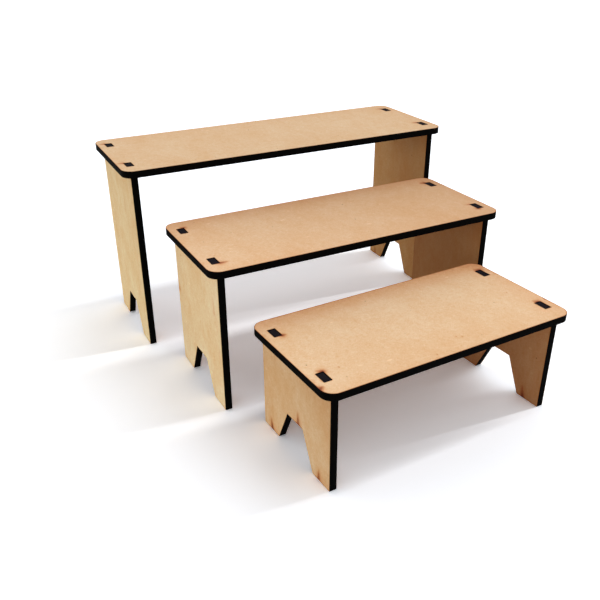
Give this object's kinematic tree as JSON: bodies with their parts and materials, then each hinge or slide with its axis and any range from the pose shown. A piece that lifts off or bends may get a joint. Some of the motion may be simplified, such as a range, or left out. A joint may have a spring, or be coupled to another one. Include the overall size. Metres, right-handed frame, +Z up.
{
  "type": "nesting display risers",
  "caption": "Stepped set of nesting shop display risers: flat tops with rounded corners on notched legs, push-fitted with through tenons, laser-cut from fibreboard with charred edges.",
  "frame": {"origin": "on the floor, under the centre of the box round the three risers as they stand in a row", "axes": "+Z up, +Y from the small riser in front to the large riser behind, +X to the right along the tops"},
  "size_m": [0.32, 0.3646, 0.169],
  "materials": {
    "fibreboard_top": "bare smooth fibreboard face, warm tan with fine fibres, laser-charred black edges",
    "fibreboard_leg": "bare smooth fibreboard face, pale yellow tan, laser-charred black edges"
  },
  "bodies": {
    "large_legs": {"large_left_leg": "fibreboard_leg", "large_right_leg": "fibreboard_leg"},
    "large_top": {"large_top": "fibreboard_top"},
    "middle_legs": {"middle_left_leg": "fibreboard_leg", "middle_right_leg": "fibreboard_leg"},
    "middle_top": {"middle_top": "fibreboard_top"},
    "small_legs": {"small_left_leg": "fibreboard_leg", "small_right_leg": "fibreboard_leg"},
    "small_top": {"small_top": "fibreboard_top"}
  },
  "joints": [
    {"name": "large_top_lift", "type": "slide", "parent": "large_legs", "child": "large_top", "axis": [0, 0, 1], "range_m": [0, 0.02]},
    {"name": "middle_nest", "type": "slide", "parent": "large_legs", "child": "middle_legs", "axis": [0, 1, 0], "range_m": [0, 0.1288]},
    {"name": "middle_top_lift", "type": "slide", "parent": "middle_legs", "child": "middle_top", "axis": [0, 0, 1], "range_m": [0, 0.02]},
    {"name": "small_nest", "type": "slide", "parent": "middle_legs", "child": "small_legs", "axis": [0, 1, 0], "range_m": [0, 0.1197]},
    {"name": "small_top_lift", "type": "slide", "parent": "small_legs", "child": "small_top", "axis": [0, 0, 1], "range_m": [0, 0.02]}
  ]
}
